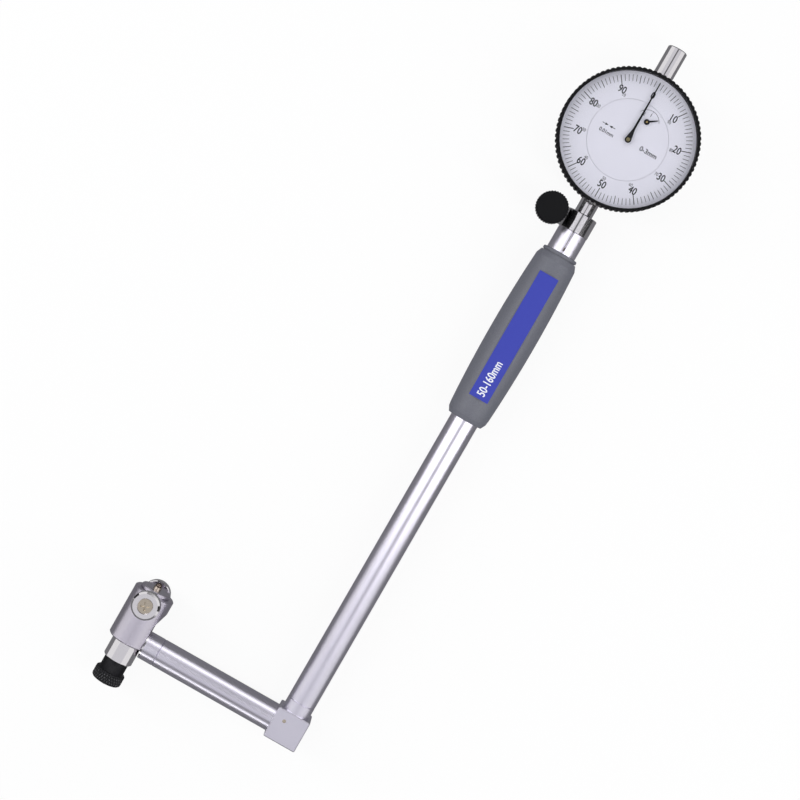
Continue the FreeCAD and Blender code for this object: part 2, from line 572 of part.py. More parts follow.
def build_clamp():
    """The slit dial holder on the tube's end, the split clamp ring round it, its screw and knob."""
    ring_foot = HOLDER_TOP - CLAMP_H
    stem_bore = STEM_R + SEAT
    inside = POINT_R + 0.5
    outline = [(inside, TUBE_TOP - 2 * SPIGOT_IN), (TUBE_BORE_R - SEAT, TUBE_TOP - 2 * SPIGOT_IN),
               (TUBE_BORE_R - SEAT, TUBE_TOP), (HOLDER_R, TUBE_TOP), (HOLDER_R, ring_foot),
               (HOLDER_NECK_R, ring_foot), (HOLDER_NECK_R, HOLDER_TOP), (stem_bore, HOLDER_TOP),
               (stem_bore, STEM_BOTTOM), (inside, STEM_BOTTOM)]
    holder = turned(outline, V(0, 0, 0), Y, X)
    slit = block(V(-HOLDER_SLIT / 2, HOLDER_SLIT_END, 0),
                 V(HOLDER_SLIT / 2, HOLDER_TOP + CUT, HOLDER_R + CUT))
    holder = holder.cut(slit)

    middle = ring_foot + CLAMP_H / 2
    screw_at = V(KNOB_X, middle, 0)
    ring = rod(CLAMP_R, V(0, ring_foot, 0), Y, CLAMP_H)
    ring = ring.makeChamfer(CLAMP_BEVEL, ring.Edges[0:1] + ring.Edges[2:3])
    ear = block(V(KNOB_X, middle - EAR_H / 2, -EAR_THICK / 2), V(0, middle + EAR_H / 2, EAR_THICK / 2))
    ear = ear.fuse(rod(EAR_H / 2, screw_at - Z * (EAR_THICK / 2), Z, EAR_THICK))
    ring = ring.fuse(ear)
    ring = ring.cut(rod(HOLDER_NECK_R + SEAT, V(0, ring_foot - CUT, 0), Y, CLAMP_H + 2 * CUT))
    ring = ring.cut(block(V(KNOB_X - EAR_H, ring_foot - CUT, -EAR_SLIT / 2),
                          V(0, HOLDER_TOP + CUT, EAR_SLIT / 2)))
    ring = ring.cut(rod(CLAMP_SCREW_R + RUN, screw_at - Z * EAR_THICK, Z, 2 * EAR_THICK))

    neck_foot = EAR_THICK / 2 + FACE_GAP
    knob_foot = neck_foot + KNOB_NECK
    screw_top = knob_foot + KNOB_H - KNOB_TOP_T
    screw_foot = -EAR_THICK / 2 - CLAMP_SCREW_OUT
    screw = rod(CLAMP_SCREW_R, screw_at + Z * screw_foot, Z, screw_top - screw_foot)
    knob = toothed(KNOB_R - KNOB_TOOTH, KNOB_R, KNOB_TEETH, 0.9, 0.35, screw_at + Z * knob_foot, KNOB_H)
    bevel = KNOB_BEVEL
    a, b = knob_foot, knob_foot + KNOB_H
    envelope = turned([(0, a), (KNOB_R - bevel, a), (KNOB_R, a + bevel), (KNOB_R, b - bevel),
                       (KNOB_R - bevel, b), (0, b)], screw_at, Z, X)
    knob = fused([knob.common(envelope), rod(KNOB_NECK_R, screw_at + Z * neck_foot, Z, KNOB_NECK + 0.5)])
    knob = knob.cut(rod(CLAMP_SCREW_R + SEAT, screw_at, Z, screw_top))
    return {"dial_holder": holder, "clamp_ring": ring, "clamp_screw": screw, "clamp_knob": knob}


# ---- dial indicator ---------------------------------------------------------------------------
def build_case():
    """The indicator's case, back cover and screws, stem, spindle guard and turning bezel parts."""
    dial = V(0, DIAL_Y, 0)
    inner = CASE_R - CASE_WALL
    floor_top = CASE_FLOOR + CASE_FLOOR_T
    case = turned([(inner, CASE_BACK), (CASE_R, CASE_BACK), (CASE_R, CASE_FRONT), (inner + 1.0, CASE_FRONT),
                   (inner + 1.0, floor_top), (HUB_R + 0.3, floor_top), (HUB_R + 0.3, CASE_FLOOR),
                   (inner, CASE_FLOOR)], dial, Z, X)
    counter_at = dial + V(GEAR_OFFSET_X, GEAR_OFFSET_Y, 0)
    case = case.cut(rod(HUB_R + 0.3, counter_at + Z * (CASE_FLOOR - CUT), Z, CASE_FLOOR_T + 2 * CUT))
    boss_out = BOSS_OUT
    boss = rod(GUARD_R, dial + Y * (CASE_R - CASE_WALL), Y, CASE_WALL + boss_out)
    case = case.fuse(boss)
    case = case.cut(rod(STEM_R + SEAT, dial - Y * (CASE_R + CUT), Y, CASE_WALL + 2 * CUT + 1))
    case = case.cut(rod(SPINDLE_R + 0.3, dial + Y * (inner - CUT), Y, CASE_WALL + boss_out + 2 * CUT))
    cover_r = CASE_R - COVER_STEP
    cover = fused([rod(cover_r, dial + Z * (CASE_BACK - COVER_T), Z, COVER_T),
                   rod(inner - SEAT, dial + Z * (CASE_BACK - 0.5), Z, COVER_LIP + 0.5)])
    cover = cover.cut(rod(inner - 1.5, dial + Z * CASE_BACK, Z, COVER_LIP + CUT))
    back = CASE_BACK - COVER_T
    cover = cover.makeChamfer(COVER_BEVEL, [e for e in cover.Edges if abs(e.BoundBox.ZMax - back) < 1e-6])
    cover_screw_at = inner + COVER_SHANK_R + 2 * FACE_GAP
    screws = []
    for i in range(COVER_SCREWS):
        angle = math.radians(45 + 360 * i / COVER_SCREWS)
        at = dial + V(math.cos(angle), math.sin(angle), 0) * cover_screw_at
        sunk = at + Z * back
        head_hole = rod(COVER_HEAD_R + RUN, sunk - Z * CUT, Z, COVER_HEAD + CUT)
        cover = cover.cut(head_hole).cut(rod(COVER_SHANK_R + RUN, sunk, Z, COVER_T + CUT))
        case = case.cut(rod(COVER_SHANK_R + SEAT, at + Z * (CASE_BACK - CUT), Z, COVER_SHANK + CUT))
        screw = fused([rod(COVER_HEAD_R, sunk + Z * FACE_GAP, Z, COVER_HEAD - FACE_GAP),
                       rod(COVER_SHANK_R, sunk + Z * (COVER_HEAD / 2), Z, COVER_SHANK)])
        slot = V(COVER_HEAD_R, COVER_SLOT / 2, COVER_HEAD / 2)
        screw = screw.cut(block(sunk - slot, sunk + slot))
        screws.append(screw)

    stem_top = DIAL_Y - inner + 0.8
    stem = fused([rod(STEM_R, V(0, STEM_BOTTOM, 0), Y, stem_top - STEM_BOTTOM + 0.2),
                  rod(STEM_FLANGE_R, V(0, stem_top, 0), Y, STEM_FLANGE)])
    stem_len = stem_top - STEM_BOTTOM + STEM_FLANGE
    stem = stem.cut(rod(SPINDLE_R + RUN, V(0, STEM_BOTTOM - CUT, 0), Y, stem_len + 2 * CUT))

    guard_foot = DIAL_Y + CASE_R + boss_out
    bore_top = SPINDLE_TOP + SPINDLE_STROKE + 1.0
    guard_bore = GUARD_R - GUARD_WALL
    guard = turned([(guard_bore, guard_foot), (GUARD_R, guard_foot), (GUARD_R, GUARD_TOP - GUARD_BEVEL),
                    (GUARD_R - GUARD_BEVEL, GUARD_TOP), (0, GUARD_TOP), (0, bore_top),
                    (guard_bore, bore_top)], V(0, 0, 0), Y, X)

    ledge_r = CASE_R + RUN
    open_r = BEZEL_OPEN_R
    face_r = open_r + 0.1
    crystal_z = BEZEL_FRONT - LIP_T - CRYSTAL_T
    outline = [(ledge_r, BEZEL_BACK), (BEZEL_R - 1.0, BEZEL_BACK), (BEZEL_R, BEZEL_BACK + 0.8),
               (BEZEL_R, BEZEL_FRONT - 1.0), (BEZEL_R - 0.5, BEZEL_FRONT), (open_r, BEZEL_FRONT),
               (open_r, BEZEL_FRONT - LIP_T), (CRYSTAL_R + SEAT, BEZEL_FRONT - LIP_T),
               (CRYSTAL_R + SEAT, crystal_z), (face_r, crystal_z), (face_r, FACE_SEAT), (ledge_r, FACE_SEAT)]
    rim = turned(outline, dial, Z, X)
    grip_low, grip_high = BEZEL_BACK - CUT, BEZEL_FRONT + CUT
    notches = toothed(BEZEL_R - BEZEL_TOOTH, BEZEL_R + 0.05, BEZEL_TEETH, 0.8, 0.35, dial + Z * grip_low,
                      grip_high - grip_low)
    bezel = rim.common(notches)
    crystal = rod(CRYSTAL_R, dial + Z * crystal_z, Z, CRYSTAL_T)
    ring = pipe(face_r - SEAT, CENTRE_DIAL_R + FACE_GAP, dial + Z * FACE_SEAT, Z, FACE_T)
    centre_t = FACE_SEAT + FACE_T - floor_top
    centre = rod(CENTRE_DIAL_R, dial + Z * floor_top, Z, centre_t)
    for at in (dial, counter_at):
        centre = centre.cut(rod(ARBOR_HOLE_R, at + Z * (floor_top - CUT), Z, centre_t + 2 * CUT))
    return {
        "dial_case": case, "back_cover": cover, "back_cover_screws": Part.Compound(screws), "stem": stem,
        "spindle_guard": guard, "bezel": bezel, "crystal": crystal, "scale_ring": ring,
        "centre_dial": centre,
    }


def build_spindle():
    """The rack spindle with its contact point and guide pin."""
    pitch = 2 * math.pi * RACK_PITCH_R / RACK_TEETH
    spindle = rod(SPINDLE_R, V(0, SPINDLE_BOTTOM, 0), Y, SPINDLE_TOP - SPINDLE_BOTTOM)
    module = 2 * RACK_PITCH_R / RACK_TEETH
    pitch_x = RACK_PITCH_R - GEAR_OFFSET_X
    flat_x = pitch_x - module
    root_x = pitch_x + 1.3 * module
    mesh_y = DIAL_Y - GEAR_OFFSET_Y
    count = RACK_TOOTH_COUNT
    low = mesh_y - (count - 4) * pitch
    spindle = spindle.cut(block(V(-SPINDLE_R - CUT, low - pitch, -SPINDLE_R),
                                V(flat_x, low + count * pitch, SPINDLE_R)))
    for i in range(count):
        middle = low + i * pitch
        wide, narrow = 0.4 * pitch, 0.2 * pitch
        outline = [V(flat_x - CUT, middle - wide, 0), V(flat_x, middle - wide, 0),
                   V(root_x, middle - narrow, 0), V(root_x, middle + narrow, 0),
                   V(flat_x, middle + wide, 0), V(flat_x - CUT, middle + wide, 0)]
        notch = Part.Face(Part.makePolygon(outline + outline[:1])).extrude(Z * (2 * SPINDLE_R))
        notch.translate(-Z * SPINDLE_R)
        spindle = spindle.cut(notch)
    pin_hole = rod(GUIDE_PIN_R, V(0, GUIDE_PIN_Y, -SPINDLE_R - 0.1), Z, SPINDLE_R)
    spindle = spindle.cut(pin_hole)
    pin_foot = BACK_PLATE_Z - BACK_PLATE_T
    pin = rod(GUIDE_PIN_R - SEAT, V(0, GUIDE_PIN_Y, pin_foot), Z, -0.3 - pin_foot)
    sleeve_foot = V(0, GUIDE_PIN_Y - SLEEVE_LEN / 2, 0)
    lug = block(sleeve_foot + V(RETURN_SPRING_X - RETURN_SPRING_R, 0, -RETURN_SPRING_R),
                sleeve_foot + V(0, SLEEVE_LEN, RETURN_SPRING_R))
    sleeve = rod(SLEEVE_R, sleeve_foot, Y, SLEEVE_LEN).fuse(lug)
    sleeve = sleeve.cut(rod(SPINDLE_R + SEAT, sleeve_foot - Y * CUT, Y, SLEEVE_LEN + 2 * CUT))
    sleeve = sleeve.cut(rod(GUIDE_PIN_R, V(0, GUIDE_PIN_Y, -SLEEVE_R - CUT), Z, SLEEVE_R + CUT))
    point_top = SPINDLE_BOTTOM
    tip = SPINDLE_BOTTOM - POINT_LEN
    point = fused([rod(POINT_R, V(0, tip + 2.0, 0), Y, point_top - tip - 2.0),
                   rod(POINT_R * 0.6, V(0, tip, 0), Y, 2.1)])
    return {"spindle": spindle, "spindle_sleeve": sleeve, "spindle_guide_pin": pin, "contact_point": point}


def build_movement():
    """Plates, the rack pinion and its wheel, the counter wheel, the pointer arbor and the hands."""
    dial = V(0, DIAL_Y, 0)
    rack_at = dial - V(GEAR_OFFSET_X, GEAR_OFFSET_Y, 0)
    count_at = dial + V(GEAR_OFFSET_X, GEAR_OFFSET_Y, 0)
    distance = math.hypot(GEAR_OFFSET_X, GEAR_OFFSET_Y)
    module = 2 * distance / (GEAR_TEETH + PINION_TEETH)
    wheel_r = module * GEAR_TEETH / 2
    pinion_r = module * PINION_TEETH / 2
    rack_module = 2 * RACK_PITCH_R / RACK_TEETH
    arbor_low, arbor_high = BACK_PLATE_Z + FACE_GAP, FRONT_PLATE_Z + FRONT_PLATE_T

    def towards(a, b):
        """The angle of the line from one arbor to another."""
        return math.atan2(b.y - a.y, b.x - a.x)

    wheel_form = dict(teeth=GEAR_TEETH, root_share=0.62, tip_share=0.2, height=GEAR_T)
    rack_wheel = toothed(wheel_r - 1.2 * module, wheel_r + 0.9 * module, start=rack_at + Z * RACK_GEAR_Z,
                         turn=towards(rack_at, dial), **wheel_form)
    rack_pinion = toothed(RACK_PITCH_R - 1.2 * rack_module, RACK_PITCH_R + 0.8 * rack_module,
                          RACK_TEETH, 0.6, 0.2, rack_at - Z * RACK_PINION_LOW, RACK_GEAR_Z + RACK_PINION_LOW)
    rack_arbor = rod(ARBOR_R, rack_at + Z * arbor_low, Z, arbor_high - arbor_low)
    rack_gear = fused([rack_wheel, rack_pinion, rack_arbor])
    count_wheel = toothed(wheel_r - 1.2 * module, wheel_r + 0.9 * module, start=count_at + Z * COUNT_GEAR_Z,
                          turn=towards(count_at, dial), **wheel_form)
    count_top = COUNT_HAND_Z + 0.4
    count_gear = fused([count_wheel, rod(HUB_R, count_at + Z * (COUNT_GEAR_Z - 0.3), Z, 0.5),
                        rod(ARBOR_R, count_at + Z * arbor_low, Z, count_top - arbor_low)])
    pinion_low = RACK_GEAR_Z - 0.2
    pinion_high = COUNT_GEAR_Z + GEAR_T + 0.2
    pinion = toothed(pinion_r - 1.2 * module, pinion_r + 0.9 * module, PINION_TEETH, 0.55, 0.15,
                     dial + Z * pinion_low, pinion_high - pinion_low,
                     towards(dial, rack_at) + math.pi / PINION_TEETH)
    pointer_top = POINTER_Z + POINTER_T + 0.5
    pointer_arbor = fused([pinion, rod(ARBOR_R, dial + Z * pinion_low, Z, pointer_top - pinion_low)])

    front = rod(PLATE_R, dial + Z * FRONT_PLATE_Z, Z, FRONT_PLATE_T)
    pin_foot = BACK_PLATE_Z - BACK_PLATE_T
    back = rod(PLATE_R, dial + Z * pin_foot, Z, BACK_PLATE_T)
    pillars = []
    clear_way = towards(rack_at, count_at) + math.pi / 2
    spread = math.radians(PILLAR_SPREAD)
    for turn in (-spread, spread, math.pi - spread, math.pi + spread):
        angle = clear_way + turn
        at = dial + V(math.cos(angle), math.sin(angle), 0) * PILLAR_PLACE
        foot = BACK_PLATE_Z - PILLAR_IN
        pillars.append(rod(PILLAR_R, at + Z * foot, Z, FRONT_PLATE_Z - foot))
    stud_y = GUIDE_PIN_Y - SLEEVE_LEN / 2 - RETURN_SPRING_LEN - ARBOR_R
    stud_foot = BACK_PLATE_Z - PILLAR_IN
    stud = rod(ARBOR_R, V(RETURN_SPRING_X, stud_y, stud_foot), Z, RETURN_SPRING_R - stud_foot)
    back = fused([back, stud] + pillars)
    for at in (rack_at, count_at, dial):
        front = front.cut(rod(ARBOR_R + RUN, at + Z * (FRONT_PLATE_Z - CUT), Z, FRONT_PLATE_T + 2 * CUT))
    for at in (rack_at, count_at):
        back = back.cut(rod(ARBOR_R + RUN, at + Z * (pin_foot - CUT), Z, BACK_PLATE_T + 2 * CUT))
    slot_half = GUIDE_PIN_R + RUN
    slot = block(V(-slot_half, GUIDE_PIN_Y - slot_half, pin_foot - CUT),
                 V(slot_half, GUIDE_PIN_Y + SPINDLE_STROKE + slot_half, BACK_PLATE_Z + CUT))
    back = back.cut(slot)

    root, tip, tail_r = POINTER_ROOT / 2, POINTER_TIP / 2, POINTER_TAIL_R
    hand = [V(-root, 0, 0), V(-tip, POINTER_REACH, 0), V(tip, POINTER_REACH, 0), V(root, 0, 0)]
    needle = Part.Face(Part.makePolygon(hand + hand[:1])).extrude(Z * POINTER_T)
    shoulder = [V(-tail_r * 0.95, 0.4, 0), V(-root * 0.9, POINTER_SHOULDER, 0),
                V(root * 0.9, POINTER_SHOULDER, 0), V(tail_r * 0.95, 0.4, 0)]
    shoulder = Part.Face(Part.makePolygon(shoulder + shoulder[:1])).extrude(Z * POINTER_T)
    tail = rod(tail_r, V(0, 0, 0), Z, POINTER_T)
    pointer = fused([needle, shoulder, tail])
    pointer.translate(dial + Z * POINTER_Z)
    pointer = pointer.cut(rod(ARBOR_R + SEAT, dial + Z * (POINTER_Z - CUT), Z, POINTER_T + 2 * CUT))
    boss = rod(0.8, dial + Z * (POINTER_Z + POINTER_T), Z, 0.55).cut(
        rod(ARBOR_R + SEAT, dial + Z * POINTER_Z, Z, pointer_top - POINTER_Z))
    wide, narrow = COUNT_HAND_ROOT / 2, COUNT_HAND_TIP / 2
    small = [V(-wide, 0, 0), V(-narrow, COUNT_HAND_REACH, 0), V(narrow, COUNT_HAND_REACH, 0), V(wide, 0, 0)]
    small = Part.Face(Part.makePolygon(small + small[:1])).extrude(Z * POINTER_T)
    small = fused([small, rod(COUNT_HUB_R, V(0, 0, 0), Z, POINTER_T)]).cut(rod(ARBOR_R + SEAT, -Z, Z, 2))
    small.rotate(V(0, 0, 0), Z, COUNT_HAND_ANGLE - 90)
    small.translate(count_at + Z * COUNT_HAND_Z)

    hook = GUIDE_PIN_Y - SLEEVE_LEN / 2
    spring = coil(RETURN_SPRING_R, RETURN_SPRING_WIRE, RETURN_SPRING_TURNS,
                  V(RETURN_SPRING_X, hook - RETURN_SPRING_LEN, 0), Y, X, RETURN_SPRING_LEN)
    outer, inner = [], []
    for i in range(HAIR_TURNS * 12 + 1):
        angle = i * math.pi / 6
        radius = HUB_R + HAIR_T + HAIR_PITCH * angle / (2 * math.pi)
        outer.append(V((radius + HAIR_T) * math.cos(angle), (radius + HAIR_T) * math.sin(angle), 0))
        inner.append(V(radius * math.cos(angle), radius * math.sin(angle), 0))
    curves = [Part.BSplineCurve(), Part.BSplineCurve()]
    for curve, points in zip(curves, (outer, inner)):
        curve.interpolate(points)
    ends = [Part.makeLine(inner[0], outer[0]), Part.makeLine(outer[-1], inner[-1])]
    strip = Part.Wire(Part.__sortEdges__([curves[0].toShape(), ends[1], curves[1].toShape(), ends[0]]))
    hairspring = Part.Face(strip).extrude(Z * HAIR_H)
    hairspring.translate(count_at + Z * (COUNT_GEAR_Z + GEAR_T + FACE_GAP))
    return {
        "rack_gear": rack_gear, "counter_gear": count_gear, "pointer_arbor": pointer_arbor,
        "front_plate": front, "back_plate": back, "main_pointer": pointer, "pointer_boss": boss,
        "counter_hand": small, "return_spring": spring, "hairspring": hairspring,
    }


pieces = {}
for build in (build_corner, build_arm_end, build_core, build_bridge, build_handle, build_clamp, build_case,
              build_spindle, build_movement):
    pieces.update(build())

whole = FreeCAD.BoundBox()
for shape in pieces.values():
    whole.add(shape.optimalBoundingBox(False))
shift = V(-whole.Center.x, -whole.Center.y, -whole.ZMin)

os.makedirs("parts", exist_ok=True)
for name, shape in pieces.items():
    shape.translate(shift)
    shape.exportStep(f"parts/{name}.step")
print(f"{len(pieces)} pieces, {whole.XLength:.1f} x {whole.YLength:.1f} x {whole.ZLength:.1f} mm")
print(f"shift {shift.x:.4f} {shift.y:.4f} {shift.z:.4f}")
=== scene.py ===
import math

import bmesh
import bpy
import numpy as np
from mathutils import Matrix, Vector


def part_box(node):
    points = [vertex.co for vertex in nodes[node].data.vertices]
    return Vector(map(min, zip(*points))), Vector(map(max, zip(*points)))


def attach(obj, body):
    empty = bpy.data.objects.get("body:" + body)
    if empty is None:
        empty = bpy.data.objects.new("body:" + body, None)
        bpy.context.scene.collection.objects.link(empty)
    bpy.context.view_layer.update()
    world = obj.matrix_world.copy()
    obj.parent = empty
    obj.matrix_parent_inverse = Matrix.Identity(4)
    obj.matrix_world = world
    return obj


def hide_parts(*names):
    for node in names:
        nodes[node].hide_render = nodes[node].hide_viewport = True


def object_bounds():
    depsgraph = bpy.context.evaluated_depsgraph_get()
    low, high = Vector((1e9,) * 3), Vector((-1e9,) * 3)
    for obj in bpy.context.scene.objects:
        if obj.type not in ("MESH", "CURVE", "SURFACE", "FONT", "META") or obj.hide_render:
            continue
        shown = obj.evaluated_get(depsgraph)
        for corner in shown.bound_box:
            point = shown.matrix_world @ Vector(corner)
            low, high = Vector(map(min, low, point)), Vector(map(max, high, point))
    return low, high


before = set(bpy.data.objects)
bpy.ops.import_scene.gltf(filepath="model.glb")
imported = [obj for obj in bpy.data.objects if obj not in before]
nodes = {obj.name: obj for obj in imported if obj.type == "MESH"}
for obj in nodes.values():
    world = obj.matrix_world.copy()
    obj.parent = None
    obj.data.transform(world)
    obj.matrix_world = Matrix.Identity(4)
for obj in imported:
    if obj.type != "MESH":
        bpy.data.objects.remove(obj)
cad_low, cad_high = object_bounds()
scene = bpy.context.scene
MM = 0.001

# ---- camera, in metres and degrees ------------------------------------------------------------
CAMERA_AT = (-0.0130, 0.0423, 0.7591)
CAMERA_TO = (0.00056, -0.00762, 0.0165)
CAMERA_ROLL = 29.79
CAMERA_LENS = 79.54

# ---- printed dial, in millimetres -------------------------------------------------------------
DIVISIONS = 100
MARK_OUT = 26.7          # radius of the marks' outer ends
MARK_SHORT = 2.7
MARK_MIDDLE = 3.3
MARK_LONG = 4.1
NUMERAL_AT = 20.8
NUMERAL_HIGH = 3.0
SMALL_AT = 18.4
SMALL_HIGH = 1.4
SMALL_TURN = 1.5         # degrees that the reverse numerals stand past their marks
DIGIT_NARROW = 0.8       # width of a digit, as a share of the font's
HALF_SHORT = 0.10        # half widths of the marks
HALF_MIDDLE = 0.13
HALF_LONG = 0.16
COUNTER_ARC_IN = 5.0     # the counter's arc, and the ticks that stand inside it
COUNTER_ARC_OUT = 5.16
COUNTER_TICK_IN = 4.4
COUNTER_TICK_OUT = 5.1
COUNTER_TICK_HALF = 0.07
COUNTER_TICKS = (-46.0, 4.0, 54.0)
COUNTER_ARC = (-60, 68)
ARROW_MIDDLE = -9.6      # the pair of arrows left of the pointer's boss
INK = 0.02               # how far print stands off its surface
LETTER_WEIGHT = 0.022    # how far each stroke is thickened, as a share of its height

# ---- lock nut knurl, in millimetres -----------------------------------------------------------
KNURLS = 34
KNURL_DEEP = 0.38
KNURL_PITCH = 1.22
KNURL_POINTS = 9         # points round the nut for each knurl
BAND_RINGS = 40          # rings of points along the knurled band
NUT_NECK_R = 5.4
NUT_BRIM = 5.1           # height of the band from the nut's foot
NUT_BEVEL = 0.5
NUT_EDGE = 0.1           # how far each end face stops inside the bevel
NUT_TOP_BEVEL = 0.25
NUT_RUN = 0.05           # clearance round the anvil

# ---- label print, in millimetres --------------------------------------------------------------
RANGE_HIGH = 3.6
RANGE_FROM_END = 9.6
RANGE_NARROW = 0.72

# ---- light --------------------------------------------------------------------------------------
SIDE_LAMP_POWER = 3.0
TOP_LAMP_POWER = 1.2
LOW_LAMP_POWER = 0.8
ROOM_LIGHT = 0.52


# ---- shapes -------------------------------------------------------------------------------------
def spans(node):
    """Lowest corner, highest corner and middle of a CAD node, as arrays in metres."""
    low, high = (np.array(corner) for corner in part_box(node))
    return low, high, (low + high) / 2


def put(mesh, finish, body):
    """Links a mesh as a piece that rides a body and has a finish."""
    piece = bpy.data.objects.new(mesh.name, mesh)
    scene.collection.objects.link(piece)
    mesh.materials.append(finish)
    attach(piece, body)
    return piece


def surface(name, points, attribute=None):
    """A closed mesh from a grid of points that joins up both ways: each quad spans four neighbours.

    The faces are turned over where the enclosed volume, a sixth of the sum of the triple products of
    each face's corners, comes out negative. The attribute holds one number for each point.
    """
    rows, columns = points.shape[:2]
    index = np.arange(rows * columns).reshape(rows, columns)
    below, beside = np.roll(index, -1, 0), np.roll(index, -1, 1)
    quads = np.stack([index, below, np.roll(below, -1, 1), beside], -1).reshape(-1, 4)
    places = points.reshape(-1, 3)
    a, b, c, d = (places[quads[:, k]] for k in range(4))
    if (np.cross(a, b) * c + np.cross(a, c) * d).sum() < 0:
        quads = quads[:, ::-1]
    mesh = bpy.data.meshes.new(name)
    mesh.vertices.add(len(places))
    mesh.vertices.foreach_set("co", places.astype(np.float32).ravel())
    mesh.loops.add(quads.size)
    mesh.loops.foreach_set("vertex_index", quads.astype(np.int32).ravel())
    mesh.polygons.add(len(quads))
    mesh.polygons.foreach_set("loop_start", np.arange(0, quads.size, 4, dtype=np.int32))
    mesh.polygons.foreach_set("use_smooth", np.ones(len(quads), bool))
    mesh.update(calc_edges=True)
    if attribute is not None:
        layer = mesh.attributes.new("ridge", "FLOAT", "POINT")
        layer.data.foreach_set("value", attribute.astype(np.float32).ravel())
    return mesh


def flat_quads(name, corners):
    """A mesh of separate flat four-cornered marks, from an array of marks by corners by place."""
    mesh = bpy.data.meshes.new(name)
    mesh.from_pydata(corners.reshape(-1, 3), [], np.arange(corners.shape[0] * 4).reshape(-1, 4))
    mesh.update()
    return mesh


def radial_marks(angles, inner, outer, half):
    """Marks that point at an origin: each is a strip along its angle, from the inner to the outer radius.

    An angle runs clockwise from +Y, so the strip's direction is (sin, cos) and its side (cos, -sin).
    """
    along = np.stack([np.sin(angles), np.cos(angles), 0 * angles], -1)
    aside = np.stack([np.cos(angles), -np.sin(angles), 0 * angles], -1) * np.asarray(half)[..., None]
    near, far = along * np.asarray(inner)[..., None], along * np.asarray(outer)[..., None]
    return np.stack([near - aside, near + aside, far + aside, far - aside], 1)


def arc_strip(start, end, inner, outer, steps):
    """A band round an origin between two clockwise angles, as a row of four-cornered marks."""
    angles = np.linspace(start, end, steps + 1)
    along = np.stack([np.sin(angles), np.cos(angles), 0 * angles], -1)
    near, far = along * inner, along * outer
    return np.stack([near[:-1], near[1:], far[1:], far[:-1]], 1)


def lettering(name, lines):
    """Flat letters as one mesh. A line is its words, digit height, middle, turn and width.

    Each line is laid down five times, moved a little up, down and to each side, which thickens it.
    """
    whole = bmesh.new()
    font = bpy.data.curves.new("letters", "FONT")
    font.align_x = font.align_y = "CENTER"
    font.resolution_u = 4
    holder = bpy.data.objects.new("letters", font)
    scene.collection.objects.link(holder)

    def drawn(words):
        font.body = words
        bpy.context.view_layer.update()
        return bpy.data.meshes.new_from_object(holder.evaluated_get(bpy.context.evaluated_depsgraph_get()))

    digit = drawn("0")
    rise = [v.co.y for v in digit.vertices]
    digit_high = max(rise) - min(rise)
    for words, high, middle, turn, narrow in lines:
        mesh = drawn(words)
        x = [v.co.x for v in mesh.vertices]
        y = [v.co.y for v in mesh.vertices]
        size = high / digit_high
        centred = Matrix.Translation((-(min(x) + max(x)) / 2, -(min(y) + max(y)) / 2, 0))
        sized = Matrix.Diagonal((size * narrow, size, size, 1))
        mesh.transform(Matrix.Translation(middle) @ Matrix.Rotation(turn, 4, "Z") @ sized @ centred)
        weight = high * LETTER_WEIGHT
        for aside, up in ((0, 0), (-weight, 0), (2 * weight, 0), (-weight, weight), (0, -2 * weight)):
            mesh.transform(Matrix.Translation((aside, up, 0.001 * MM)))
            whole.from_mesh(mesh)
        bpy.data.meshes.remove(mesh)
    bpy.data.meshes.remove(digit)
    bpy.data.objects.remove(holder)
    bpy.data.curves.remove(font)
    mesh = bpy.data.meshes.new(name)
    whole.to_mesh(mesh)
    whole.free()
    return mesh


# ---- finishes -----------------------------------------------------------------------------------
class Value:
    """A shader socket that Python's +, - and * work on, with a number or another socket."""

    def __init__(self, finish, socket):
        self.finish = finish
        self.socket = socket

    def sum_of(self, operation, first, second):
        return self.finish.node("ShaderNodeMath", {"operation": operation}, {0: first, 1: second})

    def __add__(self, other):
        return self.sum_of("ADD", self, other)

    def __radd__(self, other):
        return self.sum_of("ADD", other, self)

    def __sub__(self, other):
        return self.sum_of("SUBTRACT", self, other)

    def __rsub__(self, other):
        return self.sum_of("SUBTRACT", other, self)

    def __mul__(self, other):
        return self.sum_of("MULTIPLY", self, other)

    def __rmul__(self, other):
        return self.sum_of("MULTIPLY", other, self)


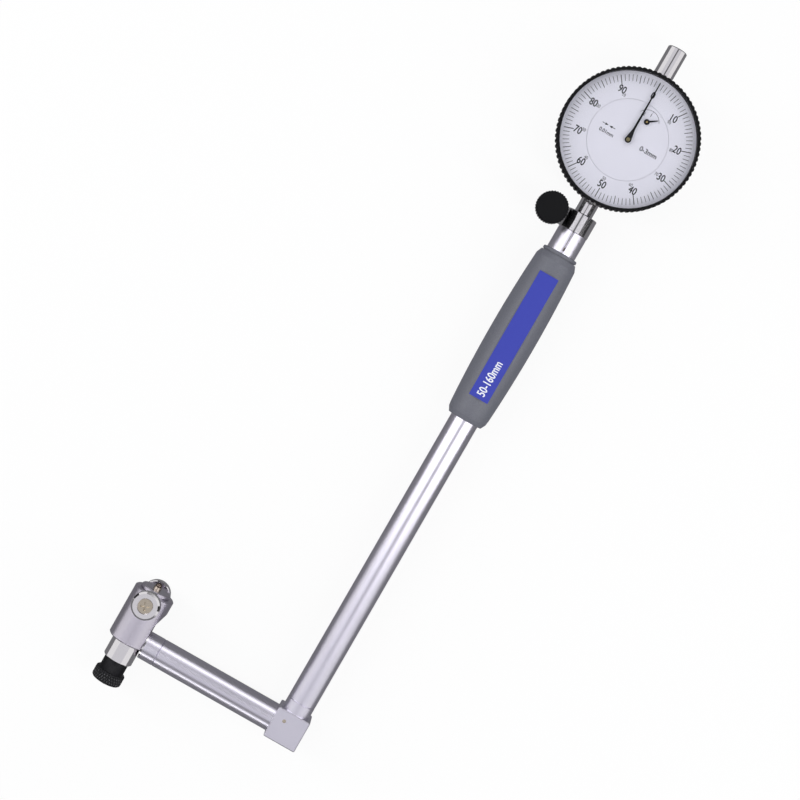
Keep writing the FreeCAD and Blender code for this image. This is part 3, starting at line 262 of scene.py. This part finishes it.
class Finish:
    """A material on object coordinates, with one Principled shader and the nodes that feed it."""

    def __init__(self, name, **sockets):
        self.material = bpy.data.materials.new(name)
        self.material.use_nodes = True
        self.tree = self.material.node_tree
        self.shader = self.tree.nodes["Principled BSDF"]
        self.output = self.tree.nodes["Material Output"]
        self.place = self.node("ShaderNodeTexCoord", out="Object")
        self.feed(**sockets)

    def node(self, kind, settings=None, inputs=None, out=0):
        """Adds a node: its settings or its ramp's stops, then the values or links of its sockets."""
        made = self.tree.nodes.new(kind)
        for key, value in (settings or {}).items():
            if key == "stops":
                ramp = made.color_ramp.elements
                for stop, (at, grey) in zip((ramp[0], ramp[1]), value):
                    stop.position = at
                    stop.color = (grey, grey, grey, 1)
            else:
                setattr(made, key, value)
        for key, value in (inputs or {}).items():
            self.link(made.inputs[key], value)
        return Value(self, made.outputs[out])

    def link(self, socket, value):
        if isinstance(value, Value):
            self.tree.links.new(value.socket, socket)
        else:
            socket.default_value = value

    def feed(self, **sockets):
        """Sets or links the Principled shader's sockets, named in lower case with underscores."""
        for key, value in sockets.items():
            words = key.split("_")
            name = " ".join(word.upper() if word == "ior" else word.capitalize() for word in words)
            self.link(self.shader.inputs[name], value)

    def noise(self, size, detail=2.0, stretch=(1, 1, 1)):
        """Noise from 0 to 1 whose features are about size metres across, longer along an axis by stretch."""
        place = self.node("ShaderNodeMapping", {"vector_type": "POINT"},
                          {"Vector": self.place, "Scale": tuple(1 / s for s in stretch)})
        return self.node("ShaderNodeTexNoise", {"noise_dimensions": "3D"},
                         {"Vector": place, "Scale": 1 / size, "Detail": detail})

    def tint(self, factor, first, second):
        """A colour between two, by a factor."""
        return self.node("ShaderNodeMix", {"data_type": "RGBA"},
                         {0: factor, 6: (*first, 1), 7: (*second, 1)}, out=2)

    def steps(self, factor, low, high):
        """A factor stretched so that low becomes 0 and high 1."""
        return self.node("ShaderNodeValToRGB", {"stops": ((low, 0), (high, 1))}, {0: factor})

    def relief(self, height, depth, strength=1.0):
        """Feeds a bump of about depth metres to the shader's normal."""
        self.feed(normal=self.node("ShaderNodeBump", None,
                                   {"Height": height, "Distance": depth, "Strength": strength}))


def metal(name, colour, dark, roughness, grain=0.0004, depth=4e-6, spread=0.05, stretch=(1, 1, 1)):
    """Metal: a fine grain in the bump, and broad soft patches in the colour and the roughness."""
    made = Finish(name, metallic=1.0)
    fine = made.noise(grain, 3.0, stretch)
    broad = made.noise(0.012, 3.0)
    made.feed(base_color=made.tint(broad, dark, colour))
    made.feed(roughness=roughness - spread + broad * spread + fine * spread)
    made.relief(fine, depth)
    return made.material


def plastic(name, colour, light, roughness, grain, depth, spread=0.08, gloss=0.5):
    """Moulded plastic: a pebbled skin, paler where the skin is high, and soft patches of gloss."""
    made = Finish(name, metallic=0.0, specular_ior_level=gloss)
    pebble = made.noise(grain, 2.0)
    broad = made.noise(0.009, 2.0)
    made.feed(base_color=made.tint(made.steps(pebble, 0.35, 0.7), colour, light))
    made.feed(roughness=roughness - spread + broad * (2 * spread))
    made.relief(pebble, depth)
    return made.material


def knurled_black():
    """Blackened steel, with a painted highlight in patches on the knurl's points from the ridge attribute;
    the points are also smoother.
    """
    made = Finish("black_steel", metallic=0.75)
    ridge = made.node("ShaderNodeAttribute", {"attribute_name": "ridge"}, out="Fac")
    # painted highlight: base colour 0.16 instead of 0.012 where the ridge attribute is high, in patches of
    # noise; the same mask lowers the roughness
    painted_highlight = made.steps(ridge, 0.72, 1.0) * made.steps(made.noise(0.0012, 3.0), 0.35, 0.75)
    made.feed(base_color=made.tint(painted_highlight, (0.012, 0.012, 0.014), (0.16, 0.16, 0.165)))
    made.feed(roughness=0.42 - painted_highlight * 0.14)
    made.relief(made.noise(0.00015, 2.0), 6e-6)
    return made.material


def glass(name):
    """A clear flat crystal: see-through, with a gloss that Fresnel makes stronger at its edges."""
    made = Finish(name)
    nodes_of = made.tree.nodes
    clear = nodes_of.new("ShaderNodeBsdfTransparent")
    gloss = nodes_of.new("ShaderNodeBsdfGlossy")
    gloss.inputs["Roughness"].default_value = 0.03
    mix = nodes_of.new("ShaderNodeMixShader")
    fresnel = made.node("ShaderNodeFresnel", None, {"IOR": 1.3})
    made.link(mix.inputs[0], fresnel * 0.6)
    made.tree.links.new(clear.outputs[0], mix.inputs[1])
    made.tree.links.new(gloss.outputs[0], mix.inputs[2])
    made.tree.links.new(mix.outputs[0], made.output.inputs["Surface"])
    nodes_of.remove(made.shader)
    return made.material


def foil(name):
    """Blue printed foil: a deep colour with a fine sparkle under a clear film."""
    made = Finish(name, metallic=0.25, coat_weight=0.35, coat_roughness=0.12)
    fleck = made.noise(0.0002, 1.0)
    made.feed(base_color=made.tint(fleck, (0.020, 0.032, 0.35), (0.030, 0.046, 0.42)))
    made.feed(roughness=0.34 + fleck * 0.1)
    made.relief(made.noise(0.004, 2.0), 1.5e-5)
    return made.material


FINISHES = {
    "satin_aluminium": metal("satin_aluminium", (0.66, 0.64, 0.72), (0.61, 0.59, 0.67), 0.31,
                             grain=0.0003, depth=2e-6),
    "chrome": metal("chrome", (0.74, 0.72, 0.74), (0.67, 0.65, 0.67), 0.10, depth=1e-6, spread=0.03),
    "satin_chrome": metal("satin_chrome", (0.57, 0.54, 0.61), (0.52, 0.49, 0.56), 0.29,
                          grain=0.0002, depth=1e-6),
    "steel": metal("steel", (0.50, 0.44, 0.36), (0.42, 0.37, 0.30), 0.24, depth=3e-6),
    "carbide": metal("carbide", (0.15, 0.115, 0.10), (0.11, 0.085, 0.07), 0.18, depth=1e-6),
    "spring_steel": metal("spring_steel", (0.42, 0.42, 0.43), (0.34, 0.34, 0.35), 0.28),
    "brass": metal("brass", (0.66, 0.50, 0.22), (0.56, 0.42, 0.18), 0.26),
    "hub_brass": metal("hub_brass", (0.34, 0.30, 0.16), (0.28, 0.24, 0.13), 0.30),
    "grip_plastic": plastic("grip_plastic", (0.112, 0.116, 0.142), (0.140, 0.144, 0.172), 0.46,
                            0.00045, 2.4e-5),
    "black_plastic": plastic("black_plastic", (0.003, 0.003, 0.004), (0.006, 0.006, 0.007), 0.45,
                             0.0003, 1.0e-5, gloss=0.10),
    "dial_white": plastic("dial_white", (0.79, 0.785, 0.88), (0.82, 0.815, 0.91), 0.55, 0.0005, 1e-6),
    "black_hands": plastic("black_hands", (0.004, 0.004, 0.006), (0.007, 0.007, 0.009), 0.4, 0.0004, 1e-6,
                           gloss=0.2),
    "print_grey": plastic("print_grey", (0.12, 0.12, 0.14), (0.15, 0.15, 0.17), 0.6, 0.0004, 1e-6),
    "print_white": plastic("print_white", (0.78, 0.80, 0.86), (0.82, 0.84, 0.9), 0.5, 0.0004, 1e-6),
    "blue_label": foil("blue_label"),
    "black_steel": knurled_black(),
    "crystal": glass("crystal"),
}

NODE_FINISHES = {
    "satin_aluminium": ("main_tube", "arm_tube", "tube_fitting", "arm_root_fitting", "arm_end_fitting",
                        "corner_block", "dial_holder"),
    "chrome": ("lock_ring", "head_core", "stem", "spindle_guard", "clamp_ring", "front_roller",
               "back_roller", "anvil", "back_cover_screws"),
    "satin_chrome": ("centralising_bridge", "core_cap", "dial_case", "back_cover", "clamp_screw"),
    "steel": ("corner_crank_pin", "head_crank_pin", "roller_screws", "contact_plunger", "rod_guide",
              "long_push_rod", "arm_push_rod", "corner_crank", "head_crank", "spindle", "contact_point",
              "spindle_guide_pin"),
    "carbide": ("contact_ball", "anvil_ball"),
    "spring_steel": ("push_rod_spring", "bridge_spring", "return_spring", "hairspring"),
    "brass": ("spindle_sleeve", "rack_gear", "pointer_arbor", "counter_gear", "front_plate", "back_plate"),
    "hub_brass": ("pointer_boss",),
    "grip_plastic": ("grip",),
    "blue_label": ("label",),
    "black_plastic": ("clamp_knob", "bezel"),
    "black_steel": ("lock_nut",),
    "dial_white": ("scale_ring", "centre_dial"),
    "black_hands": ("main_pointer", "counter_hand"),
    "crystal": ("crystal",),
}
for finish, names in NODE_FINISHES.items():
    for name in names:
        mesh = nodes[name].data
        mesh.materials.clear()
        mesh.materials.append(FINISHES[finish])


# ---- lock nut with a diamond knurl --------------------------------------------------------------
def lock_nut():
    """The nut as a ring: a closed outline of (radius, distance along Y) carried round the head's axis.

    On its wide band the radius is less by the knurl's depth times one minus h, where h is the lower of
    two zigzag waves that climb the band in opposite ways, so h is 1 on the point of each diamond. The
    points carry a painted highlight on the band, except on its first and last ring.
    """
    low, high, middle = spans("lock_nut")
    outer = (high[0] - low[0]) / 2
    anvil_low, anvil_high, _ = spans("anvil")
    bore = (anvil_high[0] - anvil_low[0]) / 2 + NUT_RUN * MM
    neck, bevel, top_bevel = NUT_NECK_R * MM, NUT_BEVEL * MM, NUT_TOP_BEVEL * MM
    end_face = outer - bevel - NUT_EDGE * MM
    foot, top = low[1], high[1]
    brim = foot + NUT_BRIM * MM
    band = np.linspace(foot + bevel, brim - bevel, BAND_RINGS)
    radii = np.concatenate([[bore, end_face], np.full(BAND_RINGS, outer),
                            [end_face, neck, neck, neck - top_bevel, bore]])
    along = np.concatenate([[foot, foot], band, [brim, brim, top - top_bevel, top, top]])
    turns = np.linspace(0, 1, KNURLS * KNURL_POINTS, endpoint=False)[:, None]
    climb = (along - foot)[None, :] / (2 * KNURL_PITCH * MM)
    zigzag = [np.abs(2 * np.mod(KNURLS * turns + way * climb, 1) - 1) for way in (1, -1)]
    height = np.clip(1.5 * np.minimum(*zigzag), 0, 1)
    on_band = np.concatenate([[0, 0], np.ones(BAND_RINGS), np.zeros(5)])[None, :]
    # mask of the painted highlight on the knurl points: every ring of the band except its first and last
    painted_highlight = on_band.copy()
    painted_highlight[0, [2, BAND_RINGS + 1]] = 0
    radius = radii[None, :] - on_band * KNURL_DEEP * MM * (1 - height)
    angle = 2 * np.pi * turns
    points = np.stack([middle[0] + radius * np.cos(angle), np.broadcast_to(along, radius.shape),
                       middle[2] + radius * np.sin(angle)], -1)
    return surface("diamond_knurled_nut", points, height * painted_highlight)


nut = put(lock_nut(), FINISHES["black_steel"], "lock_nut")
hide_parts("lock_nut")

# ---- printed dial -------------------------------------------------------------------------------
dial = spans("crystal")[2]
ring_top = spans("scale_ring")[1][2]
centre_top = spans("centre_dial")[1][2]
dial_at = np.array([dial[0], dial[1], ring_top + INK * MM])
inner_at = np.array([dial[0], dial[1], centre_top + INK * MM])
counter_middle = spans("counter_gear")[2]
counter_at = np.array([counter_middle[0], counter_middle[1], centre_top + INK * MM])

count = np.arange(DIVISIONS)
length = np.where(count % 10 == 0, MARK_LONG, np.where(count % 5 == 0, MARK_MIDDLE, MARK_SHORT))
thick = np.where(count % 10 == 0, HALF_LONG, np.where(count % 5 == 0, HALF_MIDDLE, HALF_SHORT))
marks = radial_marks(2 * np.pi * count / DIVISIONS, MARK_OUT - length, np.full(DIVISIONS, MARK_OUT), thick)
put(flat_quads("scale_marks", marks * MM + dial_at), FINISHES["black_hands"], "bezel")


def around(radius, angle, centre):
    """The place at a radius and a clockwise angle in degrees from +Y, round a centre, in metres."""
    turn = math.radians(angle)
    return Vector(centre) + Vector((math.sin(turn), math.cos(turn), 0)) * (radius * MM)


numerals = [(str(10 * i), NUMERAL_HIGH * MM, around(NUMERAL_AT, 36 * i, dial_at), 0.0, DIGIT_NARROW)
            for i in range(10)]
put(lettering("scale_numerals", numerals), FINISHES["black_hands"], "bezel")
back_numerals = [(str(100 - 10 * i), SMALL_HIGH * MM, around(SMALL_AT, 36 * i + SMALL_TURN, dial_at),
                  0.0, DIGIT_NARROW) for i in range(1, 10)]
put(lettering("reverse_numerals", back_numerals), FINISHES["print_grey"], "bezel")

words = [("0-3mm", 2.0 * MM, Vector(inner_at) + Vector((10.0, -0.3, 0)) * MM, 0.0, 0.98),
         ("0.01mm", 1.55 * MM, Vector(inner_at) + Vector((-9.2, -1.5, 0)) * MM, 0.0, 0.92),
         ("1", 1.5 * MM, around(3.4, 4, counter_at), 0.0, DIGIT_NARROW),
         ("2", 1.5 * MM, around(3.6, -46, counter_at), 0.0, DIGIT_NARROW)]
put(lettering("dial_words", words), FINISHES["black_hands"], "frame")

arc_start, arc_end = np.radians(COUNTER_ARC)
band = arc_strip(arc_start, arc_end, COUNTER_ARC_IN, COUNTER_ARC_OUT, 40)
ticks = radial_marks(np.radians(COUNTER_TICKS), np.full(3, COUNTER_TICK_IN), np.full(3, COUNTER_TICK_OUT),
                     np.full(3, COUNTER_TICK_HALF))
pair = []
middle = ARROW_MIDDLE
for way in (1, -1):
    shaft = np.array([[middle - way * 3.0, 1.2, 0], [middle - way * 1.2, 1.2, 0],
                      [middle - way * 1.2, 1.42, 0], [middle - way * 3.0, 1.42, 0]])
    tip = np.array([[middle - way * 1.6, 0.8, 0], [middle - way * 0.3, 1.26, 0],
                    [middle - way * 0.3, 1.36, 0], [middle - way * 1.6, 1.82, 0]])
    pair += [shaft[::way], tip[::way]]
counter_print = np.concatenate([band, ticks]) * MM + counter_at
arrow_print = np.array(pair) * MM + inner_at
put(flat_quads("counter_marks", np.concatenate([counter_print, arrow_print])),
    FINISHES["black_hands"], "frame")

# ---- label print --------------------------------------------------------------------------------
label_low, label_high, label_middle = spans("label")
label_face = label_high[2] + INK * MM
range_at = Vector((label_middle[0], label_low[1] + RANGE_FROM_END * MM, label_face))
label_words = [("50-160mm", RANGE_HIGH * MM, range_at, math.pi / 2, RANGE_NARROW)]
put(lettering("label_range", label_words), FINISHES["print_white"], "frame")


# ---- floor, room, lamps and camera --------------------------------------------------------------
def seen_white(tree, shader, socket, share):
    """Mixes a white glow into a shader where a camera, mirror or glass ray sees it."""
    path = tree.nodes.new("ShaderNodeLightPath")
    glow = tree.nodes.new("ShaderNodeEmission" if share < 1 else "ShaderNodeBackground")
    glow.inputs["Color"].default_value = (1, 1, 1, 1)
    glow.inputs["Strength"].default_value = 1.0
    seen = path.outputs["Is Camera Ray"]
    for kind in ("Is Glossy Ray", "Is Transmission Ray"):
        most = tree.nodes.new("ShaderNodeMath")
        most.operation = "MAXIMUM"
        tree.links.new(seen, most.inputs[0])
        tree.links.new(path.outputs[kind], most.inputs[1])
        seen = most.outputs[0]
    part = tree.nodes.new("ShaderNodeMath")
    part.operation = "MULTIPLY"
    part.inputs[1].default_value = share
    tree.links.new(seen, part.inputs[0])
    mix = tree.nodes.new("ShaderNodeMixShader")
    tree.links.new(part.outputs[0], mix.inputs[0])
    tree.links.new(shader.outputs[0], mix.inputs[1])
    tree.links.new(glow.outputs[0], mix.inputs[2])
    tree.links.new(mix.outputs[0], socket)


def plane(name, half_x, half_y, place, towards=None):
    """A flat four-cornered sheet, lying down or facing a point."""
    mesh = bpy.data.meshes.new(name)
    corners = [(-half_x, -half_y, 0), (half_x, -half_y, 0), (half_x, half_y, 0), (-half_x, half_y, 0)]
    mesh.from_pydata(corners, [], [(0, 1, 2, 3)])
    made = bpy.data.objects.new(name, mesh)
    made.location = place
    if towards is not None:
        made.rotation_euler = (Vector(towards) - Vector(place)).to_track_quat("Z", "Y").to_euler()
    scene.collection.objects.link(made)
    return made


floor = plane("floor", 4, 4, (0, 0, cad_low[2] - 0.0002))
paper = bpy.data.materials.new("floor_paper")
paper.use_nodes = True
matte = paper.node_tree.nodes["Principled BSDF"]
matte.inputs["Base Color"].default_value = (0.9, 0.9, 0.9, 1)
matte.inputs["Roughness"].default_value = 0.9
matte.inputs["Specular IOR Level"].default_value = 0.0
seen_white(paper.node_tree, matte, paper.node_tree.nodes["Material Output"].inputs["Surface"], 0.9)
floor.data.materials.append(paper)

world = bpy.data.worlds.new("room")
world.use_nodes = True
scene.world = world
room = world.node_tree.nodes["Background"]
room.inputs["Color"].default_value = (0.97, 0.98, 1.0, 1)
room.inputs["Strength"].default_value = ROOM_LIGHT
seen_white(world.node_tree, room, world.node_tree.nodes["World Output"].inputs["Surface"], 1)

target = Vector((0, 0, 0.0165))


def card(name, half_x, half_y, place, grey, towards=target):
    """A grey card, one of those that shape the reflections: only mirrors see it."""
    made = plane(name, half_x, half_y, place, towards)
    paint = bpy.data.materials.new(name)
    paint.use_nodes = True
    shader = paint.node_tree.nodes["Principled BSDF"]
    shader.inputs["Base Color"].default_value = (0, 0, 0, 1)
    shader.inputs["Specular IOR Level"].default_value = 0.0
    shader.inputs["Emission Color"].default_value = (grey, grey, grey * 1.04, 1)
    shader.inputs["Emission Strength"].default_value = 1.0
    made.data.materials.append(paint)
    made.visible_camera = False
    made.visible_diffuse = False
    made.visible_shadow = False
    made.visible_transmission = False


card("card_sky", 1.2, 1.2, (0.0, 0.0, 1.35), 0.80, (0, 0, 0))
card("card_over", 0.14, 0.45, (0.03, 0.22, 1.15), 0.16, (0.03, 0.22, 0))
card("card_low", 0.8, 0.26, (0.0, -0.98, 0.95), 0.14)
card("card_floor", 1.4, 1.4, (0.0, 0.0, cad_low[2] - 0.0001), 0.22, (0, 0, 1))
for way in (-1, 1):
    card(f"card_side_{way + 1}", 0.24, 0.7, (way * 0.95, 0.0, 0.24), 0.03)
    card(f"card_end_{way + 1}", 0.7, 0.16, (0.0, way * 1.1, 0.16), 0.05)


def lamp(name, place, size_x, size_y, power):
    """A soft rectangular lamp that faces the object."""
    light = bpy.data.lights.new(name, "AREA")
    light.shape = "RECTANGLE"
    light.size = size_x
    light.size_y = size_y
    light.energy = power
    made = bpy.data.objects.new(name, light)
    made.location = place
    made.rotation_euler = (target - Vector(place)).to_track_quat("-Z", "Y").to_euler()
    made.visible_camera = False
    scene.collection.objects.link(made)


lamp("lamp_left", (-0.62, 0.0, 0.62), 0.22, 1.1, SIDE_LAMP_POWER)
lamp("lamp_right", (0.62, 0.0, 0.62), 0.22, 1.1, SIDE_LAMP_POWER)
lamp("lamp_top", (0.0, 0.75, 0.62), 0.9, 0.2, TOP_LAMP_POWER)
lamp("lamp_low", (0.0, -0.85, 0.32), 0.9, 0.12, LOW_LAMP_POWER)

view = bpy.data.cameras.new("camera")
view.lens = CAMERA_LENS
view.sensor_width = 36.0
view.clip_start = 0.01
view.clip_end = 50.0
camera = bpy.data.objects.new("camera", view)
ahead = (Vector(CAMERA_TO) - Vector(CAMERA_AT)).normalized()
roll = math.radians(CAMERA_ROLL)
right = ahead.cross(Vector((-math.sin(roll), math.cos(roll), 0))).normalized()
turned = Matrix((right, right.cross(ahead), -ahead)).transposed()
camera.matrix_world = Matrix.Translation(CAMERA_AT) @ turned.to_4x4()
scene.collection.objects.link(camera)
scene.camera = camera
scene.view_settings.view_transform = "Standard"
